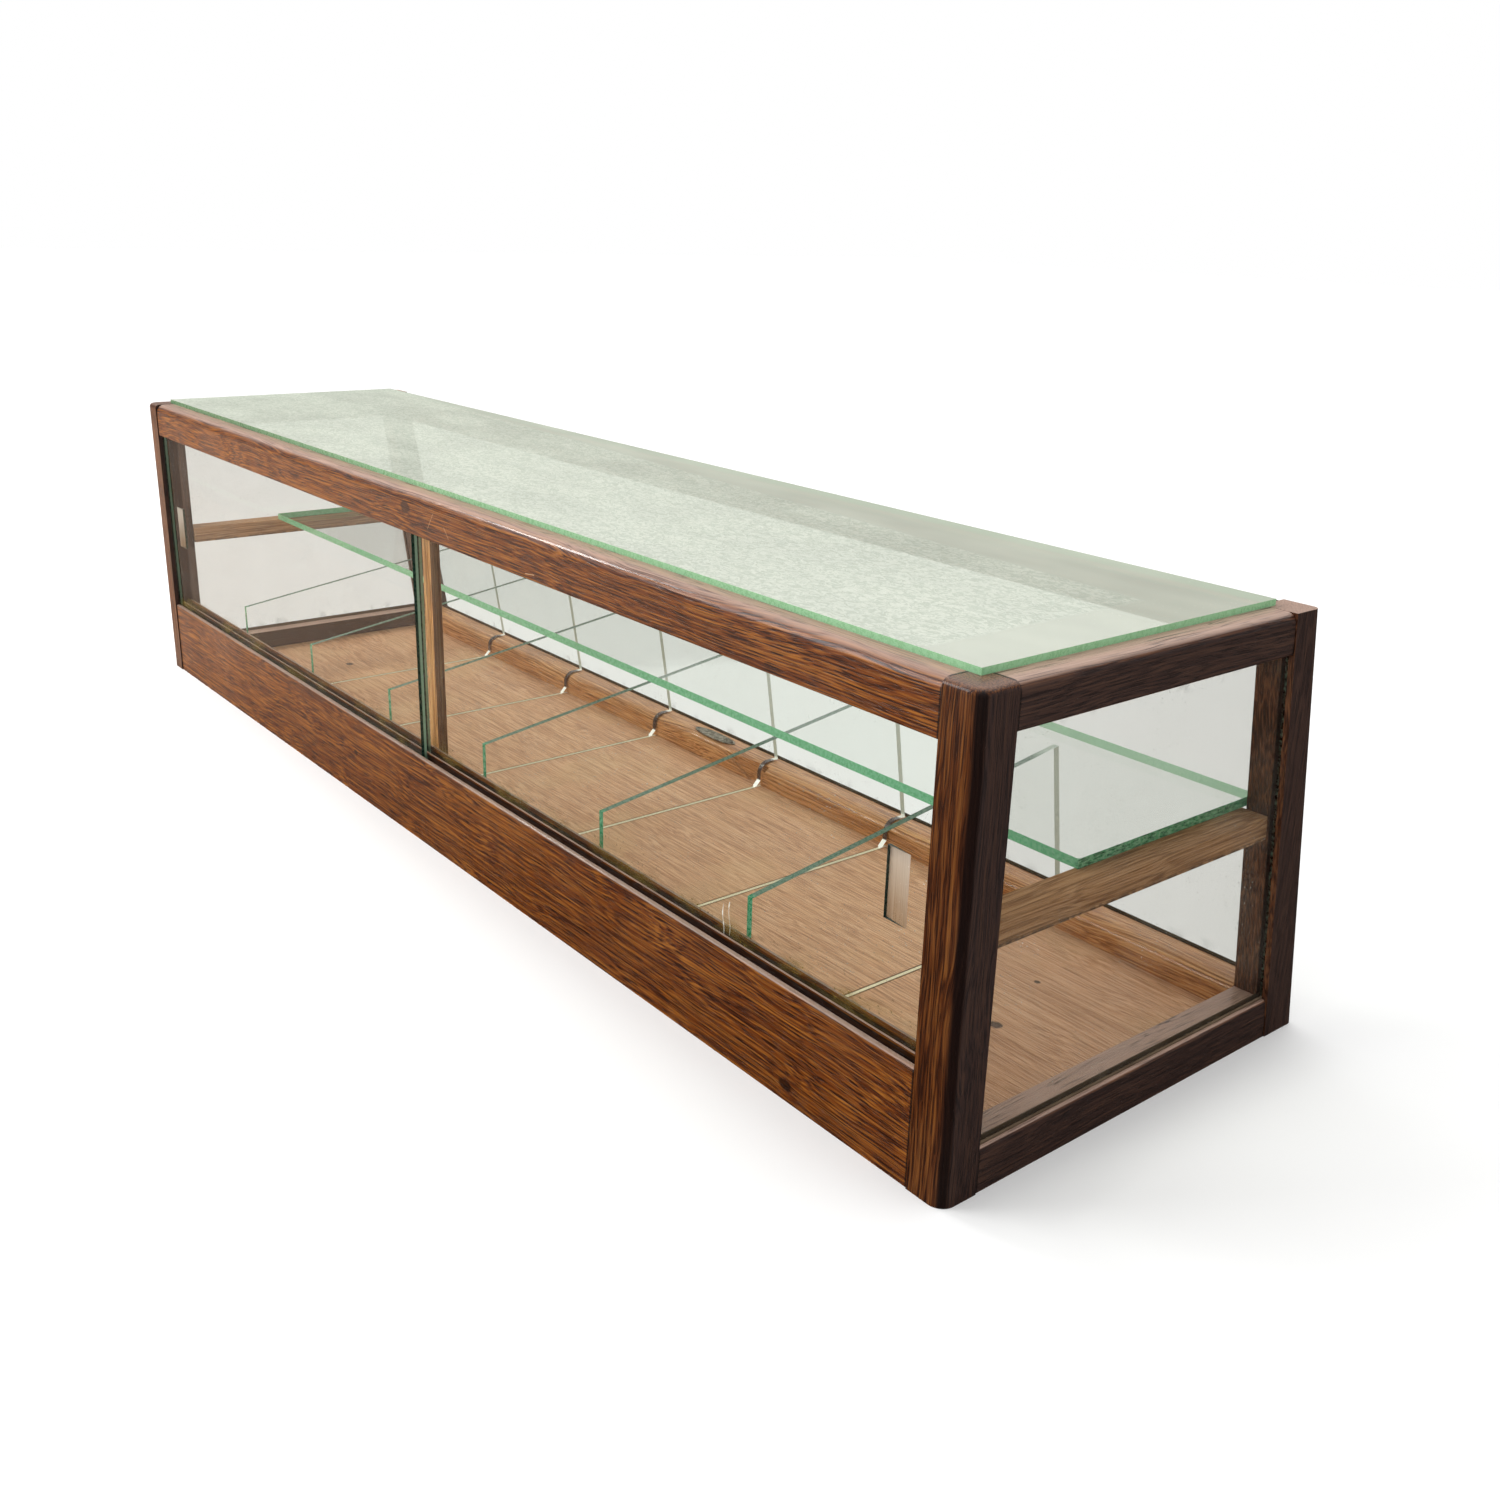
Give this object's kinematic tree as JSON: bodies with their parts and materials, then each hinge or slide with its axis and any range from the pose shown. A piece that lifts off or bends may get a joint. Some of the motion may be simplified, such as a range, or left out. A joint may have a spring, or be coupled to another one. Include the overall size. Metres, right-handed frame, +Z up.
{
  "type": "glass display showcase",
  "caption": "Long low countertop display case: oak frame, leaning front pane, loose glass top, glass shelf and dividers, and two sliding glass doors at the back.",
  "frame": {"origin": "centre of the case's footprint on the surface it stands on", "axes": "+X along the case, +Y from the sliding doors towards the customers' side, +Z up"},
  "size_m": [1.22, 0.336, 0.2975],
  "materials": {
    "door_side_oak": "worn varnished red-brown oak, glossy along the edges",
    "frame_oak": "aged varnished oak",
    "raw_oak": "unfinished sawn oak",
    "floor_veneer": "worn varnished oak board with knots",
    "dowel_beech": "plain",
    "nail_steel": "dull",
    "plate_metal": "tarnished",
    "worn_top_glass": "clear, scuffed by use, green edge",
    "thick_green_glass": "clear, green edge with small chips",
    "pane_glass": "clear, dusty",
    "door_glass": "clear, ground edges and finger pull",
    "divider_glass": "clear, ground green edges"
  },
  "bodies": {
    "case": {"front_left_post": "door_side_oak", "front_right_post": "door_side_oak", "door_side_top_rail": "door_side_oak", "door_sill_apron": "door_side_oak", "rear_left_post": "frame_oak", "rear_right_post": "frame_oak", "customer_top_rail": "frame_oak", "customer_bottom_rail": "frame_oak", "left_end_top_rail": "frame_oak", "right_end_top_rail": "frame_oak", "left_end_bottom_rail": "frame_oak", "right_end_bottom_rail": "frame_oak", "centre_mullion": "frame_oak", "floor_board": "floor_veneer", "left_shelf_cleat": "raw_oak", "right_shelf_cleat": "raw_oak", "rail_dowels": "dowel_beech", "apron_dowels": "dowel_beech", "floor_nails": "nail_steel", "mullion_brads": "nail_steel", "plate_pins": "nail_steel", "oval_plate": "plate_metal", "top_glass": "worn_top_glass", "shelf_glass": "thick_green_glass", "left_end_glass": "pane_glass", "right_end_glass": "pane_glass", "customer_glass": "pane_glass", "divider_1": "divider_glass", "divider_2": "divider_glass", "divider_3": "divider_glass", "divider_4": "divider_glass", "divider_5": "divider_glass", "divider_6": "divider_glass"},
    "left_door": {"left_sliding_door": "door_glass"},
    "right_door": {"right_sliding_door": "door_glass"}
  },
  "joints": [
    {"name": "left_door_slide", "type": "slide", "parent": "case", "child": "left_door", "axis": [1, 0, 0], "range_m": [0, 0.579]},
    {"name": "right_door_slide", "type": "slide", "parent": "case", "child": "right_door", "axis": [1, 0, 0], "range_m": [-0.579, 0]}
  ]
}
